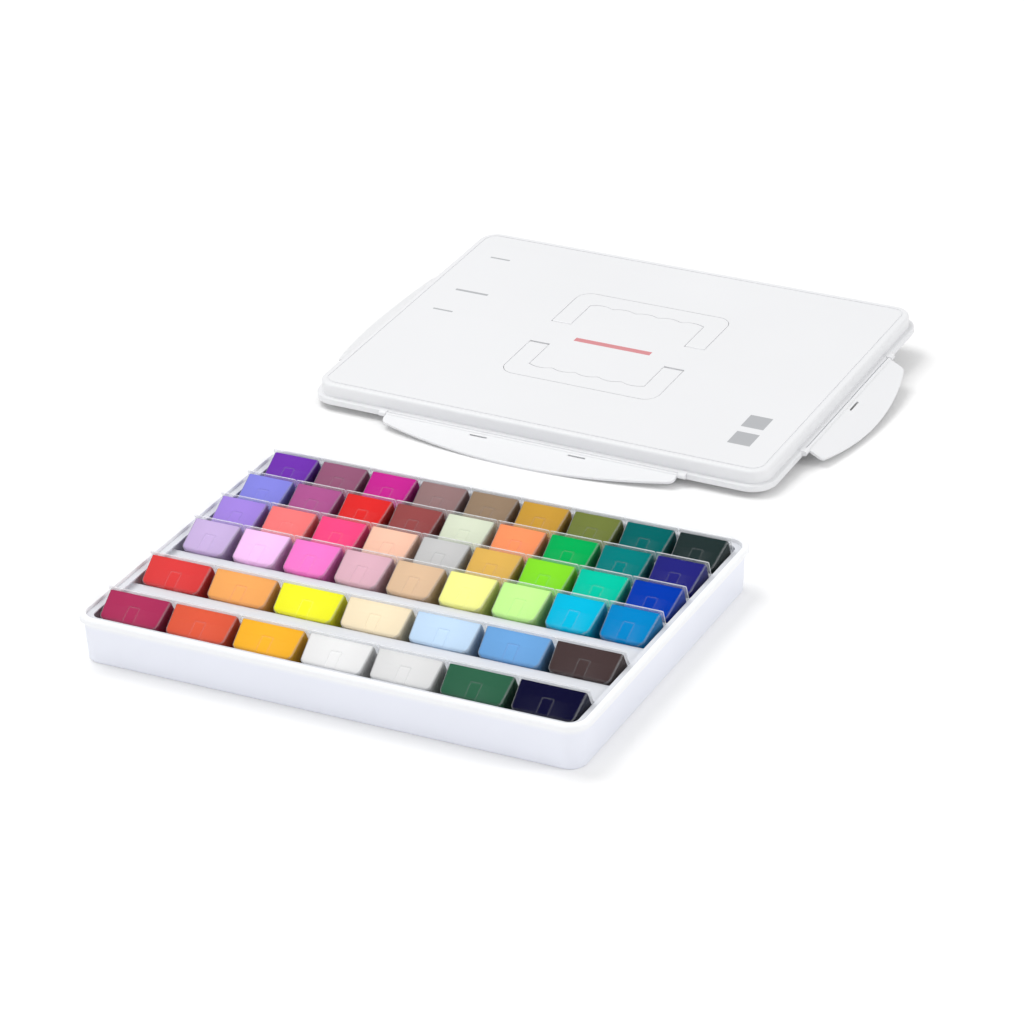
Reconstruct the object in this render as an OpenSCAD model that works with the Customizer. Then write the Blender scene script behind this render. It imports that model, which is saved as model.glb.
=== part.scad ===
// Gouache paint set box.
// A white moulded tray holds a clear rack. Fifty clear cups of paint lie in the rack in six
// leaning rows, two rows of wide cups in front of four rows of narrow ones. The lid is off and
// stands behind the tray on two of its four locking flaps, with two carrying handles folded
// flat into its top.
// Axes: X across the tray, Y from the front to the back, Z up from the table.
// The origin is the middle of the tray's flat base.

/* [Tray] */
// Height of the tray, from the table to the top of its lip
tray_h = 36; // [34:0.5:40]
// Thickness of the tray's walls and floor
tray_wall = 2; // [1.6:0.1:2.6]
// Radius of the tray's corners, measured on the lip
tray_corner = 17; // [16:0.5:20]
// How far the lip stands out from the wall
lip_out = 3; // [2.5:0.1:3.5]
// Height of the lip's turned-down edge
lip_h = 4; // [3:0.5:6]
// Thickness of the lip
lip_t = 1.6; // [1.2:0.1:2]
// How much further in the wall stands at the base than at the lip
wall_lean = 1.5; // [0.5:0.1:2]
// Chamfer round the foot of the wall
foot_chamfer = 1.2; // [0.5:0.1:1.5]

/* [Rack] */
// Thickness of the clear rack
rack_t = 1; // [0.8:0.1:1.4]
// Gap between the rack and the tray
rack_gap = 0.3; // [0.2:0.05:0.6]
// Gap between a cup and the rack
cup_clear = 0.4; // [0.3:0.05:0.6]
// Gap between the end cups and the rack's side walls
rack_side_gap = 2.9; // [2.5:0.1:5]
// Height of the shelves between the rows
shelf_z = 28.5; // [26:0.5:30]
// Width of the shelf in front of the first row
front_shelf = 7.2; // [5:0.1:12]
// Width of the shelf between the two wide rows
wide_shelf = 26.2; // [16:0.1:32]
// Width of the shelf between the wide rows and the narrow rows
middle_shelf = 24.9; // [16:0.1:32]
// Width of the shelves between the narrow rows
narrow_shelf = 4.9; // [4:0.1:8]
// Gap between the last row and the rack's back wall
back_gap = 2.4; // [2.4:0.1:5]
// Height of the rack's troughs above the tray's floor
trough_rise = 4; // [0.3:0.1:6]
// Thickness of the ribs between neighbouring cups
rib_t = 1.2; // [0.8:0.1:1.6]
// Height of those ribs
rib_h = 9; // [6:0.5:12]
// How far the rack's edge lies below the top of the tray
rack_drop = 2.4; // [1.5:0.1:4]

/* [Cups] */
// Centre distance of neighbouring narrow cups
narrow_pitch = 41.7; // [38:0.1:46]
// Length of a narrow cup's front face, from its base to its flange
narrow_face = 30.4; // [27:0.1:32]
// Slope of a narrow cup's front face above the table, in degrees
narrow_slope = 23.3; // [20:0.1:27]
// Length of a wide cup's front face
wide_face = 25.6; // [22:0.1:28]
// Slope of a wide cup's front face, in degrees
wide_slope = 30.6; // [26:0.1:34]
// How far the front faces reach above the tray's lip
cup_rise = 8.3; // [6:0.1:9]
// Draft of the cup walls, in degrees
cup_draft = 4; // [3:0.1:5]
// Wall thickness of a cup
cup_wall = 0.8; // [0.6:0.05:1.2]
// Radius of a cup's upright edges
cup_edge = 1.8; // [1.5:0.1:3]
// Radius with which a cup's sides round into its base
foot_side = 4; // [3:0.1:5]
// Radius with which a cup's front and back round into its base
foot_front = 1.6; // [1.2:0.1:2]
// Width of the flange round a cup's mouth
flange_w = 1.3; // [1:0.1:1.8]
// Thickness of that flange
flange_t = 0.8; // [0.6:0.1:1.2]
// Radius of the flange's corners
flange_edge = 1.6; // [1:0.1:3]
// Gap between neighbouring flanges
flange_gap = 0.6; // [0.3:0.1:1.2]
// Thickness of the film sealed over a cup's mouth
film_t = 0.3; // [0.2:0.05:0.4]
// Depth of the empty space between the film and the paint
fill_drop = 1.5; // [0.8:0.1:3]

/* [Lid] */
// Thickness of the lid's outer edge, which drops round the tray's lip
edge_t = 2; // [1.5:0.1:2.5]
// How far that edge drops
edge_drop = 1.2; // [0.8:0.1:1.8]
// Gap between that edge and the tray's lip
edge_gap = 0.5; // [0.4:0.1:0.8]
// Width of the lid's rim
rim_w = 4; // [3.6:0.1:4.5]
// Thickness of the lid's rim
rim_t = 3.6; // [3:0.1:4]
// Thickness of the lid's skirt
skirt_t = 2; // [1.6:0.1:2.4]
// Thickness of the lid's top plate
plate_t = 1.6; // [1.2:0.1:2.2]
// Radius of the rounding between the skirt and the top plate
shoulder_r = 2.5; // [1.5:0.1:3]
// Gap between the tops of the cups and the closed lid
lid_clear = 0.5; // [0.4:0.1:1.5]
// Distance of the line moulded round the top plate from the plate's edge
line_in = 2.5; // [1.5:0.1:4]
// Width of that line
line_w = 1; // [0.6:0.1:1.6]
// Depth of that line
line_d = 0.5; // [0.3:0.1:0.8]
// Width of the sealing ring
seal_w = 2; // [1.6:0.1:2.2]
// How far the sealing ring sinks into the rim
seal_in = 1.4; // [1:0.1:1.8]
// How far the sealing ring stands out of the rim
seal_out = 0.5; // [0.3:0.1:0.8]
// Gap between the sealing ring and its groove
seal_gap = 0.1; // [0.05:0.05:0.2]

/* [Flaps] */
// Length of a flap, from its hinge to the middle of its free edge
flap_len = 27; // [24:0.5:29]
// Width of the front and back flaps
long_flap_w = 255; // [200:1:280]
// Width of the side flaps
short_flap_w = 158; // [120:1:180]
// Thickness of a flap
flap_t = 2; // [1.6:0.1:2.4]
// Length of a long flap at its ends
long_flap_end = 9; // [8:0.5:14]
// Length of a short flap at its ends
short_flap_end = 14; // [8:0.5:18]
// Radius of a flap's two free corners
flap_corner = 5; // [3:0.5:7]
// Radius of the round bar along a flap's hinge
bar_r = 1.7; // [1.4:0.1:1.9]
// Radius of the hinge pins at its ends
flap_pin_r = 1.1; // [0.9:0.1:1.2]
// Length of those pins
flap_pin_len = 4; // [3:0.5:6]
// Running clearance of the pins in their bores
pin_clear = 0.05; // [0.02:0.01:0.1]
// Distance of the hinge axis from the lid's rim
hinge_out = 2.1; // [2.1:0.1:2.6]
// Wall round the bores for the hinge pins
lug_wall = 1; // [0.8:0.1:1.2]
// Length of the lugs that hold the pins
lug_len = 6; // [5:0.5:8]
// Gap between a flap and its lugs
lug_gap = 0.4; // [0.3:0.1:0.8]
// Length of a snap hook on a flap
hook_len = 40; // [20:1:50]
// How far a hook reaches under the tray's lip
hook_grip = 1.2; // [0.8:0.1:1.8]
// Distance of the two hooks of a long flap from its middle
hook_x = 43; // [30:1:60]
// Length of the slots above the hooks
slot_len = 15; // [8:1:20]
// Width of those slots
slot_w = 1.5; // [1:0.1:2]
// Angle at which the side flaps stand open, in degrees
side_open = 62; // [50:1:75]

/* [Handles] */
// Width of a handle
handle_w = 137; // [120:1:150]
// Distance from a handle's hinge to the outer edge of its grip
handle_reach = 53; // [48:1:60]
// Width of a handle's legs
leg_w = 17; // [14:0.5:20]
// Depth of a handle's grip
grip_d = 19; // [16:0.5:22]
// Thickness of a handle
handle_t = 3; // [2.6:0.1:3.4]
// Radius of a handle's outer corners
handle_corner = 12; // [8:0.5:15]
// Distance of each handle's hinge from the middle of the lid
handle_y = 20.5; // [19:0.5:26]
// Number of finger hollows in a grip
finger_count = 5; // [4:1:6]
// Depth of the finger hollows
finger_depth = 2.4; // [1.5:0.1:3]
// Width of the flat between neighbouring finger hollows
finger_land = 2; // [1.5:0.5:6]
// Gap between a handle and its recess
handle_gap = 0.5; // [0.4:0.1:0.8]
// Gap under a folded handle
handle_lift = 0.3; // [0.2:0.05:0.4]
// Radius of a handle's hinge pins
handle_pin_r = 0.8; // [0.6:0.1:0.9]
// Length of a handle's hinge pins
handle_pin_len = 3; // [2.5:0.5:4]
// Thickness of the lid under a folded handle
pan_t = 0.9; // [0.8:0.1:1.4]
// Thickness of the walls round a folded handle
pan_wall = 1.4; // [1:0.1:2]
// Length of the blocks round the hinge pins, in front of the hinge
pin_block = 4; // [3:0.5:6]
// Angle to which a handle folds up, in degrees
handle_open = 110; // [90:1:112]

/* [Where the lid stands] */
// Place of the middle of the lid across the tray
lid_x = -41; // [-80:1:60]
// Distance between the tray and the lid's front rim
lid_behind = 129; // [80:1:220]
// Angle to which the lid leans towards the front, in degrees
lid_tilt = 3.5; // [2:0.1:4]
// Angle by which the lid is turned on the table, in degrees
lid_turn = -2; // [-10:0.5:10]

/* [Hidden] */

// Roundness of round parts
fine = 48;
// A little extra depth, so that a cut goes right through
cut = 1;
// How far a ring's profile reaches inwards to meet a flat plate
ring_land = 1;

// Rows of cups: 0 and 1 are wide, 2 to 5 are narrow
narrow_count = 9;
wide_count = 7;
row_total = 6;
cups_w = narrow_count * narrow_pitch;
wide_pitch = cups_w / wide_count;
function is_wide(row) = row < 2;
function count(row) = is_wide(row) ? wide_count : narrow_count;
function pitch(row) = is_wide(row) ? wide_pitch : narrow_pitch;
function face(row) = is_wide(row) ? wide_face : narrow_face;
function slope(row) = is_wide(row) ? wide_slope : narrow_slope;

// A cup's axis runs from its base to its mouth. Its depth runs from its front face down
// and back. Both are directions in the YZ plane, written [y, z].
function lean(row) = slope(row) - cup_draft;
function axis(row) = [cos(lean(row)), sin(lean(row))];
function down(row) = [sin(lean(row)), -cos(lean(row))];
function axial(row) = face(row) * cos(cup_draft);
function spread(row) = face(row) * sin(cup_draft);

// Heights that the rows share
cup_top_z = tray_h + cup_rise;
sheet_off = cup_clear + rack_t / 2;
film_off = film_t + sheet_off;

// Sizes of a cup
function mouth_w(row) = pitch(row) - flange_gap - 2 * flange_w;
function base_w(row) = mouth_w(row) - 2 * spread(row);
function face_rise(row) = face(row) * sin(slope(row));
function face_run(row) = face(row) * cos(slope(row));
function low_z(row) = tray_wall + trough_rise + (rack_t + cup_clear) * (axis(row).x + axis(row).y);
function base_d(row) = (cup_top_z - face_rise(row) - low_z(row)) / cos(lean(row));
function mouth_d(row) = base_d(row) + 2 * spread(row);

// Where the rack's shelf meets a row, in front and behind, from the row's top edge
function base_drop(row) = (cup_top_z - face_rise(row) - sheet_off * axis(row).y - shelf_z) / cos(lean(row));
function shelf_front(row) = -face_run(row) - sheet_off * axis(row).x + base_drop(row) * down(row).x;
function mouth_drop(row) = (cup_top_z + film_off * axis(row).y - shelf_z) / cos(lean(row));
function shelf_back(row) = film_off * axis(row).x + mouth_drop(row) * down(row).x;
function mouth_reach(row) = (mouth_d(row) + flange_w) * down(row).x + (film_t + cup_clear) * axis(row).x;
function shelf(row) = row == 0 ? wide_shelf : (row == 1 ? middle_shelf : narrow_shelf);

// Depth of all the rows, then of the tray
function depth_to(row) = row == 0
    ? front_shelf - shelf_front(0)
    : depth_to(row - 1) + shelf_back(row - 1) + shelf(row - 1) - shelf_front(row);
rack_side = wall_lean + rack_gap + rack_t;
edge_in = lip_out + tray_wall + rack_side;
rack_inner_d = depth_to(row_total - 1) + mouth_reach(row_total - 1) + back_gap;
rack_inner_w = cups_w - flange_gap + 2 * rack_side_gap;
tray_w = rack_inner_w + 2 * edge_in;
tray_d = rack_inner_d + 2 * edge_in;
function row_y(row) = -rack_inner_d / 2 + depth_to(row);

// The lid, measured from the middle of its rim's underside
lid_over = edge_t + edge_gap;
lip_in = lid_over + lip_out + tray_wall;
lid_w = tray_w + 2 * lid_over;
lid_d = tray_d + 2 * lid_over;
lid_corner = tray_corner + lid_over;
cup_tip = cup_rise + flange_w * cos(lean(2));
recess_d = handle_t + handle_lift;
lid_h = cup_tip + lid_clear + pan_t + recess_d;
hinge_rise = 0.4;
hinge_z = bar_r + hinge_rise;
hinge_side = lid_w / 2 + hinge_out;
hinge_end = lid_d / 2 + hinge_out;

// The lid stands on the free edges of its back flap, hanging down, and its front flap, held out
lid_z = (flap_len - hinge_z) * cos(lid_tilt) - (hinge_end - flap_t / 2) * sin(lid_tilt);
lid_y = tray_d / 2 + lid_behind + lid_d / 2;
front_hinge_z = lid_z - hinge_end * sin(lid_tilt) + hinge_z * cos(lid_tilt);
flap_diag = norm([flap_len, flap_t / 2]);
front_open = acos(front_hinge_z / flap_diag) + atan2(flap_t / 2, flap_len) + lid_tilt;

// ---- Shapes that repeat ----

// A rounded rectangle as a flat outline with true arcs
module round_rect(w, d, r) {
    square([w - 2 * r, d], center = true);
    square([w, d - 2 * r], center = true);
    for (x = [-1, 1], y = [-1, 1])
        translate([x * (w / 2 - r), y * (d / 2 - r)])
            circle(r = r, $fn = fine);
}

// Carries a profile round a rounded rectangle. In the profile, x is the distance outwards
// from the centre of the corners' arcs and y is the height.
module around(w, d, r) {
    for (turn = [0, 180]) {
        rotate([0, 0, turn])
            translate([w / 2 - r, d / 2 - r, 0])
                rotate([90, 0, 0])
                    linear_extrude(d - 2 * r)
                        children();
        rotate([0, 0, turn + 90])
            translate([d / 2 - r, w / 2 - r, 0])
                rotate([90, 0, 0])
                    linear_extrude(w - 2 * r)
                        children();
        rotate([0, 0, turn])
            translate([w / 2 - r, d / 2 - r, 0])
                rotate_extrude(angle = 90, $fn = fine)
                    children();
        rotate([0, 0, turn])
            translate([-(w / 2 - r), d / 2 - r, 0])
                rotate([0, 0, 90])
                    rotate_extrude(angle = 90, $fn = fine)
                        children();
    }
}

// Turns an outline in the YZ plane into a solid of a width along X
module across(w) {
    rotate([90, 0, 90])
        linear_extrude(w, center = true)
            children();
}

// A round bar along X
module bar(r, w) {
    rotate([0, 90, 0])
        cylinder(r = r, h = w, center = true, $fn = fine);
}

// ---- Tray ----

module tray() {
    color("whitesmoke") {
        around(tray_w, tray_d, tray_corner)
            tray_profile();
        linear_extrude(tray_wall)
            round_rect(tray_w - 2 * tray_floor_in, tray_d - 2 * tray_floor_in, tray_corner - tray_floor_in);
    }
}

tray_floor_in = lip_out + wall_lean + tray_wall + ring_land;

// Wall, turned-down lip and foot of the tray
module tray_profile() {
    wall = tray_corner - lip_out;
    foot = wall - wall_lean;
    polygon([
        [tray_corner - tray_floor_in, 0],
        [foot - foot_chamfer, 0],
        [foot, foot_chamfer],
        [wall, tray_h - lip_t],
        [tray_corner - lip_t, tray_h - lip_t],
        [tray_corner - lip_t, tray_h - lip_h],
        [tray_corner, tray_h - lip_h],
        [tray_corner, tray_h - lip_t / 2],
        [tray_corner - lip_t / 2, tray_h],
        [wall - tray_wall, tray_h],
        [foot - tray_wall, tray_wall],
        [tray_corner - tray_floor_in, tray_wall]
    ]);
}

// ---- Rack ----

rack_outer_in = edge_in - rack_t;
rack_low_z = tray_wall + rack_gap;
rack_top_z = tray_h - rack_drop;
ledge_w = rack_side_gap - cup_clear;
rack_edge = wall_lean * (rack_top_z - rack_t - tray_wall) / (tray_h - tray_wall) + rack_gap / 2;

module rack() {
    color("lightcyan", 0.5) {
        around(tray_w, tray_d, tray_corner)
            rack_wall_profile();
        intersection() {
            across(tray_w)
                rack_sheet();
            linear_extrude(tray_h)
                round_rect(
                    tray_w - 2 * rack_outer_in - rack_t,
                    tray_d - 2 * rack_outer_in - rack_t,
                    tray_corner - rack_outer_in - rack_t / 2
                );
        }
        for (row = [0:row_total - 1], gap = [1:count(row) - 1])
            translate([gap * pitch(row) - cups_w / 2, 0, 0])
                across(rib_t)
                    rib_outline(row);
    }
}

// The rack's outer wall with its turned-out edge and a narrow ledge that reaches in to the cups
module rack_wall_profile() {
    outer = tray_corner - rack_outer_in;
    polygon([
        [outer - rack_t, rack_low_z],
        [outer, rack_low_z],
        [outer, rack_top_z - rack_t],
        [outer + rack_edge, rack_top_z - rack_t],
        [outer + rack_edge, rack_top_z],
        [outer - rack_t - ledge_w, rack_top_z],
        [outer - rack_t - ledge_w, rack_top_z - rack_t],
        [outer - rack_t, rack_top_z - rack_t]
    ]);
}

// Corners of the folded sheet under one row, as [y, z] points
function row_top(row) = [row_y(row), cup_top_z];
function row_base(row) = row_top(row) - [face_run(row), face_rise(row)];
function heel(row) = row_base(row) + base_d(row) * down(row) + sheet_off * (down(row) - axis(row));
function toe(row) = row_top(row) + (mouth_d(row) + flange_w + sheet_off) * down(row) + film_off * axis(row);
function row_path(row) = [
    [row_y(row) + shelf_front(row), shelf_z],
    heel(row),
    toe(row),
    [row_y(row) + shelf_back(row), shelf_z]
];
sheet_path = concat(
    [[-rack_inner_d / 2 - rack_t / 2, shelf_z]],
    [for (row = [0:row_total - 1]) each row_path(row)],
    [[rack_inner_d / 2 + rack_t / 2, shelf_z]]
);

// The way out of the sheet's upper side at a fold, long enough for even thickness on both sides
function unit(v) = v / norm(v);
function turned(v) = [-v.y, v.x];
function run_dir(i) = unit(sheet_path[i + 1] - sheet_path[i]);
function fold_out(i) =
    let (last = len(sheet_path) - 1)
    let (before = turned(run_dir(max(i - 1, 0))))
    let (after = turned(run_dir(min(i, last - 1))))
    (before + after) / (1 + before * after);

// The folded sheet as an outline of even thickness
module rack_sheet() {
    polygon(concat(
        [for (i = [0:len(sheet_path) - 1]) sheet_path[i] + rack_t / 2 * fold_out(i)],
        [for (i = [len(sheet_path) - 1:-1:0]) sheet_path[i] - rack_t / 2 * fold_out(i)]
    ));
}

// A low rib that keeps two neighbouring cups apart
module rib_outline(row) {
    mouth_end = toe(row) - (film_off + flange_t + 2 * cup_clear) * axis(row);
    polygon([
        heel(row),
        mouth_end,
        mouth_end - rib_h * down(row),
        heel(row) - rib_h * down(row)
    ]);
}

// ---- Cups, paint and film ----

// Points of a rounded rectangle at a height, three to a corner
function ring(w, d, r, z) = [
    for (quarter = [0:3], step = [0:2])
        let (turn = 90 * quarter + 45 * step)
        let (sx = quarter == 0 || quarter == 3 ? 1 : -1)
        let (sy = quarter < 2 ? 1 : -1)
        [sx * (w / 2 - r) + r * cos(turn), sy * (d / 2 - r) + r * sin(turn), z]
];
ring_n = 12;

// Joins rings into a closed solid, from the cap on the first to the cap on the last
module loft(rings) {
    polyhedron(
        points = [for (r = rings) each r],
        faces = concat(
            [[for (i = [0:ring_n - 1]) i]],
            [for (k = [0:len(rings) - 2], i = [0:ring_n - 1])
                let (next = (i + 1) % ring_n)
                [k * ring_n + i, (k + 1) * ring_n + i, (k + 1) * ring_n + next, k * ring_n + next]],
            [[for (i = [ring_n - 1:-1:0]) (len(rings) - 1) * ring_n + i]]
        )
    );
}

// Places a cup's own frame, with its base at the origin, its mouth at +Z and its front at -Y
module at_cup(row, place) {
    centre = row_top(row) + mouth_d(row) / 2 * down(row) - axial(row) * axis(row);
    translate([(place + 0.5) * pitch(row) - cups_w / 2, centre.x, centre.y])
        rotate([lean(row) - 90, 0, 0])
            children();
}

// Outline of a cup at a height above its base, grown outwards. Its foot is rounded up to a
// height that may be given apart, so that a flat floor can lie above the base.
function round_in(r, z) = z >= r ? 0 : r - sqrt(r * r - (r - z) * (r - z));
function cup_ring(row, z, more, foot_z, r) = ring(
    base_w(row) + 2 * (spread(row) * z / axial(row) + more - round_in(foot_side, foot_z)),
    base_d(row) + 2 * (spread(row) * z / axial(row) + more - round_in(foot_front, foot_z)),
    r,
    z
);
inner_edge = cup_edge - cup_wall;

// A cup: rounded foot, drafted walls, flange, and the hollow inside
module cup_shell(row) {
    length = axial(row);
    under_flange = length - flange_t;
    foot_mid = foot_side * (1 - cos(45));
    loft([
        cup_ring(row, 0, 0, 0, cup_edge),
        cup_ring(row, foot_mid, 0, foot_mid, cup_edge),
        cup_ring(row, foot_side, 0, foot_side, cup_edge),
        cup_ring(row, under_flange, 0, under_flange, cup_edge),
        cup_ring(row, under_flange, flange_w, under_flange, flange_edge),
        cup_ring(row, length, flange_w, length, flange_edge),
        cup_ring(row, length, -cup_wall, length, inner_edge),
        cup_ring(row, foot_side, -cup_wall, foot_side, inner_edge),
        cup_ring(row, cup_wall, -cup_wall, 0, inner_edge)
    ]);
}

// The paint fills a cup to just under its mouth
module paint_block(row) {
    fill = axial(row) - fill_drop;
    skin = cup_wall + paint_gap;
    loft([
        cup_ring(row, skin, -skin, 0, inner_edge),
        cup_ring(row, foot_side, -skin, foot_side, inner_edge),
        cup_ring(row, fill, -skin, fill, inner_edge)
    ]);
}
paint_gap = 0.05;

// The film lies on the flange
module film_sheet(row) {
    translate([0, 0, axial(row)])
        linear_extrude(film_t)
            polygon([for (p = ring(
                mouth_w(row) + 2 * flange_w - film_in,
                mouth_d(row) + 2 * flange_w - film_in,
                flange_edge,
                0
            )) [p.x, p.y]]);
}
film_in = 0.6;

module cup_row(row) {
    color("azure", 0.4)
        for (place = [0:count(row) - 1])
            at_cup(row, place)
                cup_shell(row);
}

module film_row(row) {
    color("white", 0.6)
        for (place = [0:count(row) - 1])
            at_cup(row, place)
                film_sheet(row);
}

module paint_row(row) {
    for (place = [0:count(row) - 1])
        color(paints[row][place])
            at_cup(row, place)
                paint_block(row);
}

// Paint colours from left to right, one list to a row, the front row first
paints = [
    ["crimson", "coral", "goldenrod", "white", "gainsboro", "seagreen", "midnightblue"],
    ["tomato", "sandybrown", "yellow", "wheat", "lightblue", "lightskyblue", "saddlebrown"],
    ["thistle", "plum", "pink", "mistyrose", "bisque", "khaki", "palegreen", "aqua", "dodgerblue"],
    ["mediumpurple", "lightcoral", "hotpink", "peachpuff", "lightgray", "gold", "greenyellow",
        "mediumturquoise", "blue"],
    ["slateblue", "orchid", "red", "brown", "beige", "darkorange", "mediumseagreen", "darkcyan",
        "darkslateblue"],
    ["indigo", "rosybrown", "deeppink", "dimgray", "tan", "peru", "olive", "teal", "darkslategray"]
];

module cups_row_1() { cup_row(0); }
module cups_row_2() { cup_row(1); }
module cups_row_3() { cup_row(2); }
module cups_row_4() { cup_row(3); }
module cups_row_5() { cup_row(4); }
module cups_row_6() { cup_row(5); }
module paint_row_1() { paint_row(0); }
module paint_row_2() { paint_row(1); }
module paint_row_3() { paint_row(2); }
module paint_row_4() { paint_row(3); }
module paint_row_5() { paint_row(4); }
module paint_row_6() { paint_row(5); }
module film_row_1() { film_row(0); }
module film_row_2() { film_row(1); }
module film_row_3() { film_row(2); }
module film_row_4() { film_row(3); }
module film_row_5() { film_row(4); }
module film_row_6() { film_row(5); }

// ---- Lid ----

// Places the lid's own frame, whose origin is the middle of the rim's underside
module at_lid() {
    translate([lid_x, lid_y, lid_z])
        rotate([lid_tilt, 0, lid_turn])
            children();
}

plate_in = rim_w + shoulder_r;
seal_mid = lid_over + (lip_out + tray_wall) / 2;

module lid_shell() {
    color("white")
        at_lid()
            difference() {
                union() {
                    around(lid_w, lid_d, lid_corner)
                        lid_profile();
                    translate([0, 0, lid_h - plate_t])
                        linear_extrude(plate_t)
                            round_rect(
                                lid_w - 2 * plate_edge_in,
                                lid_d - 2 * plate_edge_in,
                                lid_corner - plate_edge_in
                            );
                    for (side = [0, 180])
                        rotate([0, 0, side])
                            handle_pan();
                    hinge_lugs();
                }
                for (side = [0, 180])
                    rotate([0, 0, side])
                        handle_recess();
                hinge_bores();
            }
}

plate_edge_in = plate_in + line_in + line_w + ring_land;

// Rim with its dropped edge and the groove for the seal, then the skirt, the rounded
// shoulder and the line round the top
module lid_profile() {
    skirt = lid_corner - rim_w;
    rim_in = lid_corner - lip_in;
    line = skirt - shoulder_r - line_in;
    groove = lid_corner - seal_mid + seal_w / 2 + seal_gap;
    groove_in = groove - seal_w - 2 * seal_gap;
    polygon(concat(
        [
            [rim_in, 0],
            [groove_in, 0],
            [groove_in, seal_in],
            [groove, seal_in],
            [groove, 0],
            [lid_corner - edge_t, 0],
            [lid_corner - edge_t, -edge_drop],
            [lid_corner, -edge_drop]
        ],
        [for (turn = [0:30:90])
            [lid_corner - rim_round + rim_round * cos(turn), rim_t - rim_round + rim_round * sin(turn)]],
        [[skirt, rim_t]],
        [for (turn = [0:15:90])
            [skirt - shoulder_r + shoulder_r * cos(turn), lid_h - shoulder_r + shoulder_r * sin(turn)]],
        [
            [line, lid_h],
            [line, lid_h - line_d],
            [line - line_w, lid_h - line_d],
            [line - line_w, lid_h],
            [line - line_w - ring_land, lid_h],
            [line - line_w - ring_land, lid_h - plate_t],
            [skirt - skirt_t, lid_h - plate_t],
            [skirt - skirt_t, rim_t + skirt - skirt_t - rim_in],
            [rim_in, rim_t]
        ]
    ));
}
rim_round = 1;

// The two sides of the lid on which a long flap hangs, then the two with a short one
module on_sides() {
    for (turn = [0, 180])
        rotate([0, 0, turn])
            translate([0, -hinge_end, hinge_z])
                children(0);
    for (turn = [90, 270])
        rotate([0, 0, turn])
            translate([0, -hinge_side, hinge_z])
                children(1);
}

module hinge_lugs() {
    on_sides() {
        lug_pair(long_flap_w);
        lug_pair(short_flap_w);
    }
}

module lug_pair(w) {
    lug_r = flap_pin_r + lug_wall;
    for (end = [-1, 1])
        translate([end * (w / 2 + lug_gap + lug_len / 2), 0, 0])
            across(lug_len) {
                circle(r = lug_r, $fn = fine);
                translate([0, -lug_r])
                    square([hinge_out + rim_w / 2, 2 * lug_r]);
            }
}

module hinge_bores() {
    on_sides() {
        pin_bores(long_flap_w);
        pin_bores(short_flap_w);
    }
}

// Blind bores for the pins of one flap
module pin_bores(w) {
    depth = lug_gap + flap_pin_len;
    for (end = [-1, 1])
        translate([end * (w / 2 + depth / 2 + lug_gap / 2), 0, 0])
            bar(flap_pin_r + pin_clear, depth);
}

// A handle seen from above, from its hinge at y = 0 to its grip, grown by a gap on all sides
module handle_outline(grow) {
    inner_w = handle_w - 2 * leg_w - 2 * grow;
    inner_y = handle_reach - grip_d - grow;
    hollow_pitch = inner_w / finger_count;
    hollow_r = arc_radius(hollow_pitch - finger_land, finger_depth);
    difference() {
        union() {
            translate([-handle_w / 2 - grow, 0])
                square([handle_w + 2 * grow, handle_reach - handle_corner]);
            translate([-handle_w / 2 + handle_corner, 0])
                square([handle_w - 2 * handle_corner, handle_reach + grow]);
            for (side = [-1, 1])
                translate([side * (handle_w / 2 - handle_corner), handle_reach - handle_corner])
                    circle(r = handle_corner + grow, $fn = fine);
        }
        translate([-inner_w / 2, -cut])
            square([inner_w, inner_y + cut]);
        intersection() {
            translate([-inner_w / 2, -cut])
                square([inner_w, handle_reach]);
            for (finger = [0:finger_count - 1])
                translate([(finger + 0.5) * hollow_pitch - inner_w / 2, inner_y - hollow_r + finger_depth])
                    circle(r = hollow_r, $fn = fine);
        }
    }
}

// Radius of an arc from its chord and its height
function arc_radius(chord, height) = (chord * chord / 4 + height * height) / (2 * height);

// Room behind a handle's hinge, for its legs when they lean past upright
over_lean = handle_open - 90;
pivot_room = handle_t / 2 * (1 / cos(over_lean) + tan(over_lean)) + handle_gap;
pivot_z = lid_h - handle_t / 2;

module handle_recess() {
    translate([0, handle_y, lid_h - recess_d])
        linear_extrude(recess_d + cut) {
            handle_outline(handle_gap);
            leg_ends(leg_w + 2 * handle_gap, pivot_room, cut);
        }
    for (side = [-1, 1])
        translate([side * (handle_w - leg_w) / 2, handle_y, pivot_z])
            bar(handle_pin_r + pin_clear, leg_w + 2 * handle_pin_len + 2 * handle_gap);
}

// The walls and floor of the recess, hanging under the lid, with a block round each hinge pin
module handle_pan() {
    pan_h = recess_d + pan_t;
    block_w = leg_w + 2 * (handle_gap + handle_pin_len + pan_wall);
    translate([0, handle_y, lid_h - pan_h])
        linear_extrude(pan_h - line_d) {
            handle_outline(handle_gap + pan_wall);
            leg_ends(block_w, pivot_room + pan_wall, pin_block);
        }
}

// A rectangle round the end of each leg, seen from above
module leg_ends(w, behind, ahead) {
    for (side = [-1, 1])
        translate([side * (handle_w - leg_w) / 2 - w / 2, -behind])
            square([w, behind + ahead]);
}

// The sealing ring fills its groove and stands out of it with a narrower lip
module lid_seal() {
    color("lightgray")
        at_lid() {
            seal_ring(seal_w, seal_in, 0);
            seal_ring(seal_w / 2, seal_in / 2 + seal_out, -seal_out);
        }
}

// A ring of rectangular section round the lid, in the middle of the tray's lip
module seal_ring(wide, high, z) {
    outer = seal_mid - wide / 2;
    inner = seal_mid + wide / 2;
    translate([0, 0, z])
        linear_extrude(high)
            difference() {
                round_rect(lid_w - 2 * outer, lid_d - 2 * outer, lid_corner - outer);
                round_rect(lid_w - 2 * inner, lid_d - 2 * inner, lid_corner - inner);
            }
}

// ---- Flaps ----

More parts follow.
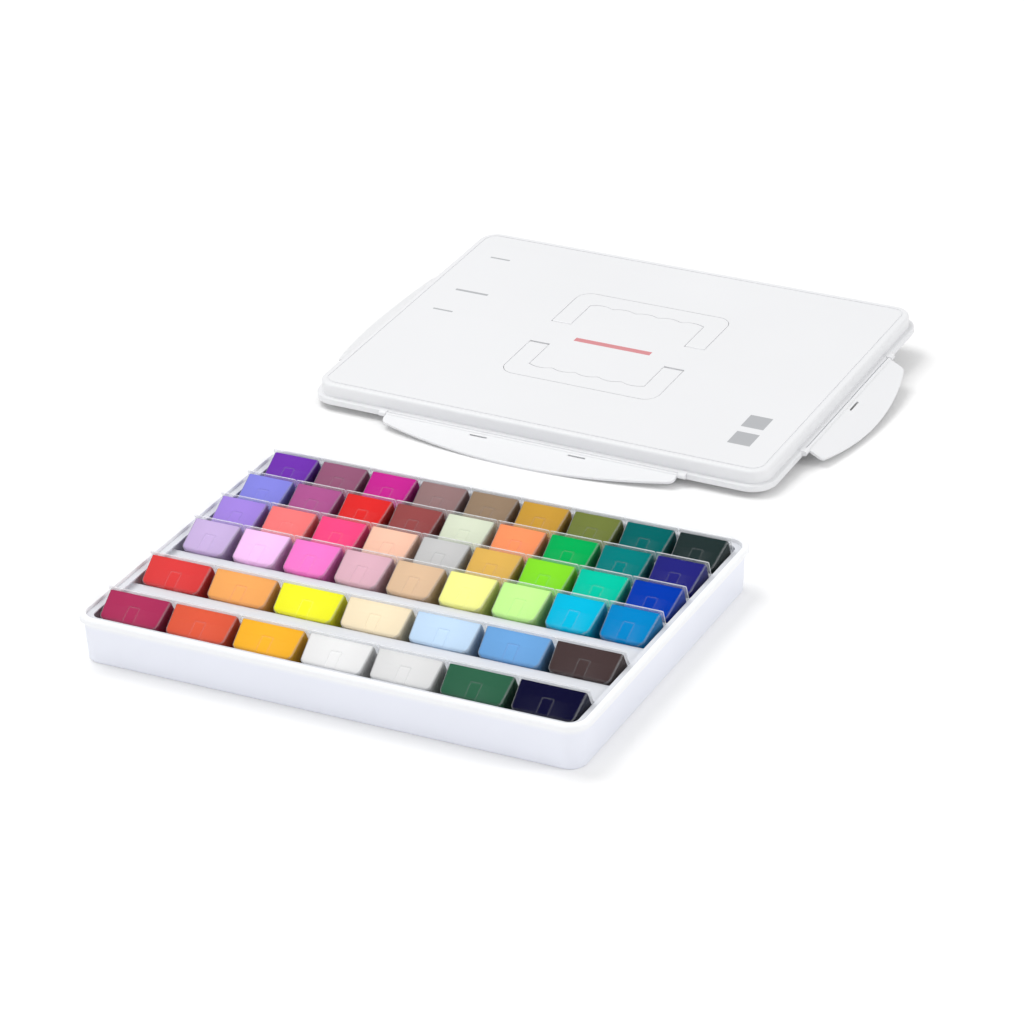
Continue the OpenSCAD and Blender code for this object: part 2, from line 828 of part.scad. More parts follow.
// Radius of the bow along a flap's free edge
function bow(w, end_len) = arc_radius(w, flap_len - end_len);

// A flap hanging straight down from its hinge along X, with its inner side towards +Y
module flap(w, end_len, hooks) {
    difference() {
        union() {
            rotate([90, 0, 0])
                linear_extrude(flap_t, center = true)
                    flap_outline(w, end_len);
            bar(bar_r, w);
            bar(flap_pin_r, w + 2 * flap_pin_len);
            for (x = hooks)
                translate([x, 0, 0])
                    across(hook_len)
                        hook_outline();
        }
        for (x = hooks)
            translate([x, 0, -slot_z])
                cube([slot_len, flap_t + cut, slot_w], center = true);
    }
}

// A flap's outline hangs below y = 0. Its free edge is a bow, joined to the ends by small arcs.
module flap_outline(w, end_len) {
    big = bow(w, end_len);
    middle = big - flap_len;
    small_x = w / 2 - flap_corner;
    small_y = middle - sqrt(pow(big - flap_corner, 2) - pow(small_x, 2));
    meet_x = small_x * big / (big - flap_corner);
    intersection() {
        translate([-meet_x, -flap_len])
            square([2 * meet_x, flap_len]);
        translate([0, middle])
            circle(r = big, $fn = 4 * fine);
    }
    translate([-w / 2, small_y])
        square([w, -small_y]);
    for (side = [-1, 1])
        translate([side * small_x, small_y])
            circle(r = flap_corner, $fn = fine);
}

// The hook reaches across the rim's overhang and under the tray's lip, with a little play
hook_play = 0.3;
hook_slant = 0.6;
hook_edge = 1;
hook_top = hinge_z + lip_h + hook_play;
hook_reach = lid_over + hinge_out - flap_t / 2 + hook_grip;
slot_z = (bar_r + hook_top) / 2;

module hook_outline() {
    translate([flap_t / 2, -hook_top])
        polygon([
            [0, 0],
            [hook_reach, -hook_slant],
            [hook_reach, -hook_slant - hook_edge],
            [0, -hook_reach - hook_slant - hook_edge]
        ]);
}

long_hooks = [-hook_x, hook_x];
short_hooks = [0];

module flap_front() {
    color("white")
        at_lid()
            translate([0, -hinge_end, hinge_z])
                rotate([-front_open, 0, 0])
                    flap(long_flap_w, long_flap_end, long_hooks);
}

module flap_back() {
    color("white")
        at_lid()
            rotate([0, 0, 180])
                translate([0, -hinge_end, hinge_z])
                    flap(long_flap_w, long_flap_end, long_hooks);
}

module flap_right() {
    color("white")
        at_lid()
            rotate([0, 0, 90])
                translate([0, -hinge_side, hinge_z])
                    rotate([-side_open, 0, 0])
                        flap(short_flap_w, short_flap_end, short_hooks);
}

module flap_left() {
    color("white")
        at_lid()
            rotate([0, 0, -90])
                translate([0, -hinge_side, hinge_z])
                    rotate([-side_open, 0, 0])
                        flap(short_flap_w, short_flap_end, short_hooks);
}

// ---- Handles ----

// A handle folded flat, in the lid's frame
module handle() {
    translate([0, handle_y, lid_h - handle_t])
        linear_extrude(handle_t)
            handle_outline(0);
    for (side = [-1, 1])
        translate([side * (handle_w - leg_w) / 2, handle_y, pivot_z]) {
            bar(handle_t / 2, leg_w);
            bar(handle_pin_r, leg_w + 2 * handle_pin_len);
        }
}

module handle_back() {
    color("white")
        at_lid()
            handle();
}

module handle_front() {
    color("white")
        at_lid()
            rotate([0, 0, 180])
                handle();
}

tray();
rack();
cups_row_1();
cups_row_2();
cups_row_3();
cups_row_4();
cups_row_5();
cups_row_6();
paint_row_1();
paint_row_2();
paint_row_3();
paint_row_4();
paint_row_5();
paint_row_6();
film_row_1();
film_row_2();
film_row_3();
film_row_4();
film_row_5();
film_row_6();
lid_shell();
lid_seal();
flap_front();
flap_back();
flap_left();
flap_right();
handle_front();
handle_back();
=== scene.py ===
import math

import bpy
import numpy as np
from mathutils import Color, Matrix, Vector


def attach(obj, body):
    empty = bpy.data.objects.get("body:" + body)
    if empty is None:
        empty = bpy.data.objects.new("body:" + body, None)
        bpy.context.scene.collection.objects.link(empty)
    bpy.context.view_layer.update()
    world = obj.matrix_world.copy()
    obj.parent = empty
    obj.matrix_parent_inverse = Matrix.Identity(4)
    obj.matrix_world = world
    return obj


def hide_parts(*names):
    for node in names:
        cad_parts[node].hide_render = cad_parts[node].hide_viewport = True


# A gouache paint set box: an open white tray of leaning paint cups, with its lid behind it.
# Lengths are in metres.
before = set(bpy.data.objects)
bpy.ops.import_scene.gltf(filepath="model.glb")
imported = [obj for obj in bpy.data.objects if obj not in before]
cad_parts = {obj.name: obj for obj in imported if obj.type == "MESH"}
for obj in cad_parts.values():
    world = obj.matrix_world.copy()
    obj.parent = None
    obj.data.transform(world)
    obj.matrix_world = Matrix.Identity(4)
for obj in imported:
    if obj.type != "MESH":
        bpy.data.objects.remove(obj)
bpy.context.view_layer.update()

# ---- The tray ----
# The case's lower half: one white moulding with a turned-down lip. Its plastic is smooth and
# a little cool in tone, with the faint flow marks and orange-peel texture of a moulded wall. A
# painted highlight makes the colour paler along the lip.
WALL_TONE = (0.87, 0.89, 0.97, 1)
# The paler lip colour, and the heights between which it fades in, are a painted highlight
LIP_PAINTED_LIGHT = (0.95, 0.96, 0.98, 1)
LIP_LIGHT_BAND_LOW = 0.0265
LIP_LIGHT_BAND_HIGH = 0.0315
TRAY_ROUGHNESS = 0.38
FLOW_PER_METRE = 9.0
BUMP_DEPTH = 0.0002


def add_group(name, inputs, outputs):
    """A new shader node group with named sockets, each given as name, kind and default."""
    group = bpy.data.node_groups.new(name, "ShaderNodeTree")
    for label, kind, default in inputs:
        socket = group.interface.new_socket(label, in_out="INPUT", socket_type=kind)
        socket.default_value = default
    for label, kind in outputs:
        group.interface.new_socket(label, in_out="OUTPUT", socket_type=kind)
    return group


def add_node(tree, kind, values=None, **settings):
    """A new node with its settings, and with its input sockets set by name or number."""
    node = tree.nodes.new(kind)
    for key, value in settings.items():
        setattr(node, key, value)
    for key, value in (values or {}).items():
        node.inputs[key].default_value = value
    return node


def moulded_surface():
    """Group for moulded plastic: two noises shift its colour and roughness and give its height.

    A coarse noise is the flow mark and a fine one the orange-peel texture.
    """
    group = add_group(
        "moulded_surface",
        [
            ("Colour", "NodeSocketColor", (1, 1, 1, 1)),
            ("Roughness", "NodeSocketFloat", 0.35),
            ("Variation", "NodeSocketFloat", 0.04),
            ("Grain per metre", "NodeSocketFloat", 900.0),
        ],
        [("Colour", "NodeSocketColor"), ("Roughness", "NodeSocketFloat"), ("Height", "NodeSocketFloat")],
    )
    link = group.links.new
    given = add_node(group, "NodeGroupInput")
    made = add_node(group, "NodeGroupOutput")
    place = add_node(group, "ShaderNodeTexCoord")
    flow = add_node(group, "ShaderNodeTexNoise", {"Scale": FLOW_PER_METRE, "Detail": 3.0})
    grain = add_node(group, "ShaderNodeTexNoise", {"Detail": 2.0})
    centred = add_node(group, "ShaderNodeMath", {1: 0.5}, operation="SUBTRACT")
    swing = add_node(group, "ShaderNodeMath", operation="MULTIPLY")
    shade = add_node(group, "ShaderNodeMath", {1: 1.0}, operation="ADD")
    tint = add_node(group, "ShaderNodeVectorMath", operation="SCALE")
    rough = add_node(group, "ShaderNodeMath", operation="ADD")
    link(place.outputs["Object"], flow.inputs["Vector"])
    link(place.outputs["Object"], grain.inputs["Vector"])
    link(given.outputs["Grain per metre"], grain.inputs["Scale"])
    link(flow.outputs[0], centred.inputs[0])
    link(centred.outputs[0], swing.inputs[0])
    link(given.outputs["Variation"], swing.inputs[1])
    link(swing.outputs[0], shade.inputs[0])
    link(given.outputs["Colour"], tint.inputs[0])
    link(shade.outputs[0], tint.inputs["Scale"])
    link(given.outputs["Roughness"], rough.inputs[0])
    link(swing.outputs[0], rough.inputs[1])
    link(tint.outputs[0], made.inputs["Colour"])
    link(rough.outputs[0], made.inputs["Roughness"])
    link(grain.outputs[0], made.inputs["Height"])
    return group


MOULDED = moulded_surface()


def plastic(name, colour, roughness, grain=900.0, variation=0.04, bump=0.06):
    """Material of moulded plastic: the surface group feeds colour, roughness and a fine bump."""
    material = bpy.data.materials.new(name)
    material.use_nodes = True
    tree = material.node_tree
    shader = tree.nodes["Principled BSDF"]
    surface = add_node(tree, "ShaderNodeGroup", node_tree=MOULDED)
    surface.inputs["Colour"].default_value = (*colour, 1)
    surface.inputs["Roughness"].default_value = roughness
    surface.inputs["Variation"].default_value = variation
    surface.inputs["Grain per metre"].default_value = grain
    relief = add_node(tree, "ShaderNodeBump", {"Strength": bump, "Distance": BUMP_DEPTH})
    tree.links.new(surface.outputs["Colour"], shader.inputs["Base Color"])
    tree.links.new(surface.outputs["Roughness"], shader.inputs["Roughness"])
    tree.links.new(surface.outputs["Height"], relief.inputs["Height"])
    tree.links.new(relief.outputs["Normal"], shader.inputs["Normal"])
    return material


def dress(node, material):
    """Puts a material on a CAD node."""
    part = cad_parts[node]
    part.data.materials.clear()
    part.data.materials.append(material)


def surface_of(material):
    """The surface group in a material that plastic() made."""
    return next(node for node in material.node_tree.nodes if node.bl_idname == "ShaderNodeGroup")


def tray_white():
    """White plastic with a painted highlight: its colour steps smoothly from the wall's tone to a paler lip
    with height.
    """
    material = plastic("tray_white", WALL_TONE[:3], TRAY_ROUGHNESS)
    tree = material.node_tree
    surface = surface_of(material)
    place = add_node(tree, "ShaderNodeTexCoord")
    split = add_node(tree, "ShaderNodeSeparateXYZ")
    # Painted highlight: the colour turns paler towards the top of the wall
    lit_band = {"From Min": LIP_LIGHT_BAND_LOW, "From Max": LIP_LIGHT_BAND_HIGH}
    lip_light_mask = add_node(tree, "ShaderNodeMapRange", lit_band, interpolation_type="SMOOTHSTEP")
    painted_lip_light = add_node(tree, "ShaderNodeMix", {6: WALL_TONE, 7: LIP_PAINTED_LIGHT}, data_type="RGBA")
    tree.links.new(place.outputs["Object"], split.inputs[0])
    tree.links.new(split.outputs[2], lip_light_mask.inputs[0])
    tree.links.new(lip_light_mask.outputs[0], painted_lip_light.inputs[0])
    tree.links.new(painted_lip_light.outputs[2], surface.inputs["Colour"])
    return material


dress("tray", tray_white())

# ---- The rack ----
# A clear thermoformed sheet that drops into the tray. Its troughs hold the leaning cups, and
# it looks like a bluish haze over the white tray.
RACK_TINT = (0.93, 0.95, 1.0)
RACK_HAZE = 0.75
RACK_EDGE_HAZE = 0.25
RACK_ROUGHNESS = 0.2


def thin_clear(name, tint, haze, edge, roughness):
    """Material of thin clear plastic: see-through where it is faced, paler towards its edges.

    Alpha is haze + edge * facing ** 4, so light passes straight through the thin wall.
    """
    material = plastic(name, tint, roughness, variation=0.02, bump=0.02)
    tree = material.node_tree
    shader = tree.nodes["Principled BSDF"]
    facing = add_node(tree, "ShaderNodeLayerWeight", {"Blend": 0.5})
    steep = add_node(tree, "ShaderNodeMath", {1: 4.0}, operation="POWER")
    scaled = add_node(tree, "ShaderNodeMath", {1: edge, 2: haze}, operation="MULTIPLY_ADD", use_clamp=True)
    tree.links.new(facing.outputs["Facing"], steep.inputs[0])
    tree.links.new(steep.outputs[0], scaled.inputs[0])
    tree.links.new(scaled.outputs[0], shader.inputs["Alpha"])
    return material


dress("rack", thin_clear("rack_clear", RACK_TINT, RACK_HAZE, RACK_EDGE_HAZE, RACK_ROUGHNESS))

# ---- The cups ----
# Fifty clear injection-moulded cups lie on their backs in six rows. Each is a drafted box with a
# rounded foot, a flange round its mouth and a tab outlined by a fine furrow on its front face.
# One piece holds the cups of one row, and all of them stay with their row.
WIDE = {"lean": math.radians(26.6), "count": 7}
NARROW = {"lean": math.radians(19.3), "count": 9}
ROW_KINDS = [WIDE, WIDE, NARROW, NARROW, NARROW, NARROW]
FLANGE_GAP = 0.0006
FLANGE_WIDTH = 0.0013
FLANGE_THICKNESS = 0.0008
FLANGE_ROUNDING = 0.0002
CUP_WALL = 0.0008
CUP_DRAFT = math.radians(4)
CUP_EDGE = 0.0018
FOOT_SIDE = 0.004
FOOT_FRONT = 0.0016
FLANGE_EDGE = 0.0008
ARC_MIDDLE = 0.3
WALL_START = 0.003
MOUTH_DEPTH = 0.001
CORNER_STEPS = 7
SIDE_COLUMNS = np.array([-0.5, 0.0, 0.5])
FRONT_SHARE = 0.99
CREASE = math.radians(40)
CUP_TINT = (0.92, 0.94, 0.97)
CUP_HAZE = 0.0
CUP_EDGE_HAZE = 0.4
CUP_ROUGHNESS = 0.12
# Painted highlights: how much paler the plastic is made at the flange's edge, round the rounded edges, on
# the foot and along the furrow
RIM_PAINTED_HIGHLIGHT = 0.5
RIM_HIGHLIGHT_SHARES = np.array([0.1, 0.6, 1, 1, 0.6, 0.1])
CORNER_PAINTED_HIGHLIGHT = 0.16
FOOT_PAINTED_HIGHLIGHT = 0.05
FURROW_PAINTED_HIGHLIGHT = 0.06
TAB_HALF_WIDTH = 0.0042
TAB_HEIGHT = 0.54
FURROW_DEPTH = 0.00045
FURROW_WIDTH = 0.0011
FURROW_CORNER = 0.0008
FURROW_REACH = 0.0011
FURROW_STEPS = 11
TAB_TOP_REACH = 0.0012
TAB_FLAT = 0.002
FOOT_STEPS = 7


def row_seat(row):
    """Where a row of cups lies, measured on its CAD solid.

    The cups' axis is (0, cos lean, sin lean), and their depth runs along (0, sin lean, -cos lean).
    """
    kind = ROW_KINDS[row]
    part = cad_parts[f"cups_row_{row + 1}"]
    points = np.empty(len(part.data.vertices) * 3)
    part.data.vertices.foreach_get("co", points)
    turn = np.array(part.matrix_world)
    points = points.reshape(-1, 3) @ turn[:3, :3].T + turn[:3, 3]
    axis = np.array([0.0, math.cos(kind["lean"]), math.sin(kind["lean"])])
    down = np.array([0.0, math.sin(kind["lean"]), -math.cos(kind["lean"])])
    along, deep = points @ axis, points @ down
    pitch = (np.ptp(points[:, 0]) + FLANGE_GAP) / kind["count"]
    places = (np.arange(kind["count"]) + 0.5) * pitch + points[:, 0].min() - FLANGE_GAP / 2
    base = along.min() * axis + (deep.max() + deep.min()) / 2 * down
    return {
        "length": np.ptp(along),
        "mouth": np.array([pitch - FLANGE_GAP, np.ptp(deep)]) / 2 - FLANGE_WIDTH,
        "bases": base + np.outer(places, [1.0, 0.0, 0.0]),
        "axes": np.array([[-1.0, 0.0, 0.0], down, axis]),
    }


def ring_plan(front, side, corner):
    """Points round a cup from its front left corner: place shares and directions, on X and Y.

    A point is share * (half size - radius) + direction * radius.
    """
    turns = np.linspace(0, math.pi / 2, corner)
    parts = []
    for quarter, (sx, sy) in enumerate([(1, -1), (1, 1), (-1, 1), (-1, -1)]):
        angle = turns + math.pi / 2 * (quarter - 1)
        run = [front, side, side, side][quarter]
        wall = np.ones_like(run)
        along, across = [(run, -wall), (wall, run), (-run, wall), (-wall, -run)][quarter]
        way = np.array([[0, -1], [1, 0], [0, 1], [-1, 0]][quarter], float)
        parts.append(np.column_stack([along, across, np.tile(way, (len(run), 1))]))
        parts.append(np.column_stack([0 * angle + sx, 0 * angle + sy, np.cos(angle), np.sin(angle)]))
    return np.concatenate(parts)


def furrow(x, height, top):
    """The furrow's share of its full depth: a bell curve of the distance to the tab's outline.

    The outline is a box, open at the cup's base, whose two upper corners are rounded.
    """
    beside = np.abs(x) - (TAB_HALF_WIDTH - FURROW_CORNER)
    above = height - (top - FURROW_CORNER)
    outside = np.hypot(np.maximum(beside, 0), np.maximum(above, 0))
    distance = outside + np.minimum(np.maximum(beside, above), 0) - FURROW_CORNER
    return np.exp(-((2 * distance / FURROW_WIDTH) ** 2))


def near(middle, reach, steps):
    """Stations spread evenly about a middle."""
    return middle + np.linspace(-reach, reach, steps)


def round_in(radius, height):
    """How far a rounded foot pulls in at a height: the radius less half the circle's chord there."""
    left = np.clip(radius - height, 0, radius)
    return radius - np.sqrt(radius**2 - left**2)


def cup_rings(seat, heights, growth, foot, radius):
    """Rings of points at stations up a cup, each wider than the drafted wall by its growth.

    The foot heights say where on the rounded foot a station lies. The second array is a painted
    highlight: how much paler the plastic is made at each point, most half way round a side edge,
    some on the foot and along the furrow, and nothing on the flat.
    """
    left = near(-TAB_HALF_WIDTH, FURROW_REACH, FURROW_STEPS)
    right = near(TAB_HALF_WIDTH, FURROW_REACH, FURROW_STEPS)
    columns = np.concatenate([left, [-TAB_FLAT, 0, TAB_FLAT], right])
    front = columns / (seat["mouth"][0] - CUP_EDGE)
    plan = ring_plan(front, SIDE_COLUMNS, CORNER_STEPS)
    drafted = growth - (seat["length"] - heights) * math.tan(CUP_DRAFT)
    half_x = (seat["mouth"][0] + drafted - round_in(FOOT_SIDE, foot))[:, None]
    half_y = (seat["mouth"][1] + drafted - round_in(FOOT_FRONT, foot))[:, None]
    edge = radius[:, None]
    x = plan[:, 0] * (half_x - edge) + plan[:, 2] * edge
    y = plan[:, 1] * (half_y - edge) + plan[:, 3] * edge
    on_front = (plan[:, 3] < -FRONT_SHARE) * (np.abs(plan[:, 0]) < FRONT_SHARE)
    sunk = on_front * furrow(x, heights[:, None], TAB_HEIGHT * seat["length"])
    y = y + FURROW_DEPTH * sunk
    corner = (2 * plan[:, 2] * plan[:, 3]) ** 2
    on_foot = np.sin(math.pi * np.clip(foot / FOOT_FRONT, 0, 1)) ** 2
    edges = np.maximum(CORNER_PAINTED_HIGHLIGHT * corner, FOOT_PAINTED_HIGHLIGHT * on_foot[:, None])
    highlight = np.maximum(edges, FURROW_PAINTED_HIGHLIGHT * sunk)
    return np.stack([x, y, np.broadcast_to(heights[:, None], x.shape)], axis=-1), highlight


def ring_skin(name, seat, rings):
    """One mesh of all cups in a row: quads between rings, and a flat cap on the first and last."""
    steps, around = rings.shape[:2]
    local = rings.reshape(-1, 3) @ seat["axes"]
    verts = (local[None] + seat["bases"][:, None]).reshape(-1, 3)
    k, i = np.meshgrid(np.arange(steps - 1), np.arange(around), indexing="ij")
    here, after = k * around + i, k * around + (i + 1) % around
    quads = np.stack([here, after, after + around, here + around], axis=-1).reshape(-1, 4)
    first = np.arange(around)[::-1]
    last = np.arange(around) + (steps - 1) * around
    loops = np.concatenate([quads.ravel(), first, last])
    sizes = np.concatenate([np.full(len(quads), 4), [around, around]])
    shift = np.arange(len(seat["bases"])) * steps * around
    mesh = bpy.data.meshes.new(name)
    mesh.vertices.add(len(verts))
    mesh.vertices.foreach_set("co", verts.ravel())
    mesh.loops.add(len(loops) * len(shift))
    mesh.loops.foreach_set("vertex_index", (loops[None] + shift[:, None]).ravel())
    starts = np.concatenate([[0], np.cumsum(np.tile(sizes, len(shift)))[:-1]])
    mesh.polygons.add(len(sizes) * len(shift))
    mesh.polygons.foreach_set("loop_start", starts)
    mesh.update(calc_edges=True)
    mesh.shade_smooth()
    mesh.set_sharp_from_angle(angle=CREASE)
    piece = bpy.data.objects.new(name, mesh)
    bpy.context.collection.objects.link(piece)
    return piece


def foot_stations(steps):
    """Heights up a rounded foot, spaced by equal turns of its circle."""
    return FOOT_SIDE * (1 - np.cos(np.linspace(0, math.pi / 2, steps)))


def wall_stations(seat, high):
    """Heights up a cup's wall, close together where the tab's upper furrow runs."""
    tab_top = TAB_HEIGHT * seat["length"]
    furrowed = near(tab_top, TAB_TOP_REACH, FURROW_STEPS)
    return np.concatenate([[FOOT_SIDE + WALL_START], furrowed, [(tab_top + high) / 2, high]])


def cup_shells(row, seat):
    """Outer skin from the foot to the flange, round the flange's edge, and down inside.

    Each edge of the flange is a quarter circle of three points. Its middle point lies ARC_MIDDLE
    of the radius in from either side.
    """
    length, under, soft = seat["length"], seat["length"] - FLANGE_THICKNESS, FLANGE_ROUNDING
    foot, wall = foot_stations(FOOT_STEPS), wall_stations(seat, under)
    arc = soft * np.array([0, ARC_MIDDLE, 1])
    rim = np.concatenate([under + arc, length - arc[::-1]])
    rim_out = FLANGE_WIDTH - np.concatenate([arc[::-1], arc])
    inside = CUP_WALL + foot[::-1] * (1 - CUP_WALL / FOOT_SIDE)
    heights = np.concatenate([foot, wall, rim, [length, length - MOUTH_DEPTH], inside])
    growth = np.concatenate([0 * foot, 0 * wall, rim_out, np.full(2 + len(inside), -CUP_WALL)])
    foot_heights = np.concatenate([foot, wall, rim, [length, length], foot[::-1]])
    edges = [np.full(len(foot) + len(wall), CUP_EDGE), np.full(len(rim), FLANGE_EDGE)]
    edges.append(np.full(2 + len(inside), CUP_EDGE - CUP_WALL))
    rings, highlight = cup_rings(seat, heights, growth, foot_heights, np.concatenate(edges))
    rim_first = len(foot) + len(wall)
    rim_end = rim_first + len(rim)
    # The flange's edge gets a painted highlight, and the inside of the cup none
    highlight[rim_first:rim_end] = RIM_PAINTED_HIGHLIGHT * RIM_HIGHLIGHT_SHARES[:, None]
    highlight[rim_end:] = 0
    piece = ring_skin(f"clear_cups_{row + 1}", seat, rings)
    layer = piece.data.attributes.new("paleness", "FLOAT", "POINT")
    layer.data.foreach_set("value", np.tile(highlight.ravel(), len(seat["bases"])))
    return piece


def cup_plastic():
    """Thin clear plastic with painted highlights at its edges and rim, added to thin_clear's alpha."""
    material = thin_clear("cup_plastic", CUP_TINT, CUP_HAZE, CUP_EDGE_HAZE, CUP_ROUGHNESS)
    tree = material.node_tree
    alpha = tree.nodes["Principled BSDF"].inputs["Alpha"]
    paleness = add_node(tree, "ShaderNodeAttribute", attribute_name="paleness")
    more = add_node(tree, "ShaderNodeMath", operation="ADD", use_clamp=True)
    tree.links.new(paleness.outputs["Fac"], more.inputs[0])
    tree.links.new(alpha.links[0].from_socket, more.inputs[1])
    tree.links.new(more.outputs[0], alpha)
    return material


CUP_PLASTIC = cup_plastic()
for row in range(6):
    cups = cup_shells(row, row_seat(row))
    cups.data.materials.append(CUP_PLASTIC)
    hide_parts(f"cups_row_{row + 1}")
    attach(cups, f"cups_{row + 1}")

# ---- The paint ----
# Thick gouache fills each cup to just under its mouth and lies against the whole wall, so its
# colour shows through the plastic, with the wall's own furrow. One piece holds a row's paint.
PAINT_REACH = 0.0005
SIDE_SHADE = 0.4
FILL_DROP = 0.0015
MENISCUS = 0.0003
BELOW_MENISCUS = 0.001
PAINT_ROUGHNESS = 0.42
PAINT_GLOSS = 0.01

# Each paint's chart colour: hue in tens of degrees, saturation and value in tenths
PAINTS = {
    "crimson": (34, 7, 7), "vermilion": (1, 7, 9), "golden_yellow": (4, 8, 10), "white": (0, 0, 9.5),
    "pale_grey": (24, 0, 9), "forest_green": (15, 5, 4), "midnight": (24, 7, 2), "poppy_red": (0, 7, 9),
    "apricot": (3, 6, 10), "lemon": (6, 8, 10), "cream": (4, 2, 10), "ice_blue": (21, 2, 10),
    "sky": (21, 5, 9), "umber": (0, 2, 3), "lavender_mist": (27, 2, 9), "candy_pink": (30, 2, 10),
    "bright_pink": (32, 5, 10), "dusty_pink": (34, 2, 9), "sand": (3, 3, 9), "primrose": (6, 4, 10),
    "spring_green": (9, 4, 10), "cyan": (19, 10, 9), "cerulean": (20, 10, 8), "lilac": (26, 4, 9),
    "salmon": (0, 5, 10), "hot_pink": (34, 7, 10), "peach": (2, 3, 10), "cool_grey": (24, 0, 8),
    "marigold": (4, 6, 9), "lime": (9, 8, 9), "turquoise": (17, 10, 8), "cobalt": (22, 10, 7),
    "periwinkle": (24, 4, 9), "orchid": (32, 5, 7), "scarlet": (0, 8, 9), "brick": (0, 5, 6),
    "celadon": (8, 1, 9), "orange": (2, 6, 10), "emerald": (15, 10, 7), "teal": (18, 10, 5),
    "navy": (24, 7, 5), "violet": (27, 7, 7), "mauve": (33, 4, 6), "magenta": (32, 8, 8),
    "taupe": (0, 2, 6), "light_brown": (3, 3, 6), "ochre": (4, 7, 8), "olive": (7, 5, 5),
    "deep_teal": (18, 10, 4), "black_green": (18, 3, 2),
}
PAINT_ROWS = [
    ["crimson", "vermilion", "golden_yellow", "white", "pale_grey", "forest_green", "midnight"],
    ["poppy_red", "apricot", "lemon", "cream", "ice_blue", "sky", "umber"],
    ["lavender_mist", "candy_pink", "bright_pink", "dusty_pink", "sand", "primrose", "spring_green",
     "cyan", "cerulean"],
    ["lilac", "salmon", "hot_pink", "peach", "cool_grey", "marigold", "lime", "turquoise", "cobalt"],
    ["periwinkle", "orchid", "scarlet", "brick", "celadon", "orange", "emerald", "teal", "navy"],
    ["violet", "mauve", "magenta", "taupe", "light_brown", "ochre", "olive", "deep_teal", "black_green"],
]


def paint_colour(name):
    """A paint's linear colour. A full turn of hue is 36 on the chart, and full strength is 10."""
    hue, saturation, value = PAINTS[name]
    shade = Color()
    shade.hsv = hue / 36, saturation / 10, value / 10
    return shade.from_srgb_to_scene_linear()


def paint_blocks(row, seat):
    """The paint's skin lies in the cup's wall, and its upper face a little under the mouth.

    Its colour is darker by SIDE_SHADE on the side walls, which face each other across a narrow gap.
    """
    inset = CUP_WALL - PAINT_REACH
    foot = foot_stations(FOOT_STEPS)
    top = seat["length"] - FILL_DROP
    wall = wall_stations(seat, top - BELOW_MENISCUS)
    heights = np.concatenate([inset + foot * (1 - inset / FOOT_SIDE), wall, [top - MENISCUS, top]])
    growth = np.concatenate([0 * foot - inset, 0 * wall - inset, [-inset, -inset - MENISCUS]])
    foot_heights = np.concatenate([foot, wall, [top, top]])
    edge = np.full(len(heights), CUP_EDGE - inset)
    rings = cup_rings(seat, heights, growth, foot_heights, edge)[0]
    piece = ring_skin(f"paint_{row + 1}", seat, rings)
    linear = np.array([paint_colour(name) for name in PAINT_ROWS[row]])
    reach = np.abs(rings[:, :, 0])
    on_side = np.clip(1 - (reach.max(axis=1)[:, None] - reach) / CUP_EDGE, 0, 1)
    colour = linear[:, None] * (1 - SIDE_SHADE * on_side).ravel()[None, :, None]
    colour = np.concatenate([colour, np.ones_like(colour[:, :, :1])], axis=2)
    layer = piece.data.attributes.new("paint_colour", "FLOAT_COLOR", "POINT")
    layer.data.foreach_set("color", colour.ravel())
    return piece


def paint_material():
    """Gouache behind a clear wall: the paint's colour with slight streaks, and next to no gloss."""
    material = plastic("gouache", (1, 1, 1), PAINT_ROUGHNESS, grain=400.0, variation=0.06, bump=0.03)
    tree = material.node_tree
    colour = add_node(tree, "ShaderNodeAttribute", attribute_name="paint_colour")
    tree.links.new(colour.outputs["Color"], surface_of(material).inputs["Colour"])
    tree.nodes["Principled BSDF"].inputs["Specular IOR Level"].default_value = PAINT_GLOSS
    return material


GOUACHE = paint_material()
for row in range(6):
    paint = paint_blocks(row, row_seat(row))
    paint.data.materials.append(GOUACHE)
    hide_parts(f"paint_row_{row + 1}")
    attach(paint, f"cups_{row + 1}")

# ---- The films ----
# A translucent white film is heat-sealed on each cup's flange. It stops just inside the flange's
# edge, and shows the paint's colour faintly.
FILM_TINT = (0.9, 0.92, 0.94)
FILM_HAZE = 0.25
FILM_EDGE_HAZE = 0.4
FILM_ROUGHNESS = 0.35
for row in range(1, 7):
    dress(f"film_row_{row}", thin_clear(f"film_{row}", FILM_TINT, FILM_HAZE, FILM_EDGE_HAZE, FILM_ROUGHNESS))

# ---- The lid ----
# The case's upper half, moulded in the same white plastic with a satin finish. Plain flat marks
# are printed on it: a red bar between the handles, short grey dashes, and two grey squares.
LID_PLACE = (-0.041, 0.42601, 0.0156441)
LID_TURN = (math.radians(3.5), 0.0, math.radians(-2.0))
LID_TOP = 0.0135
RED_PRINT = (0.62, 0.03, 0.05, 1)
GREY_PRINT = (0.30, 0.31, 0.33, 1)
LID_COLOUR = (0.83, 0.835, 0.85)
LID_ROUGHNESS = 0.42
SEAL_COLOUR = (0.7, 0.7, 0.72)
SEAL_ROUGHNESS = 0.6


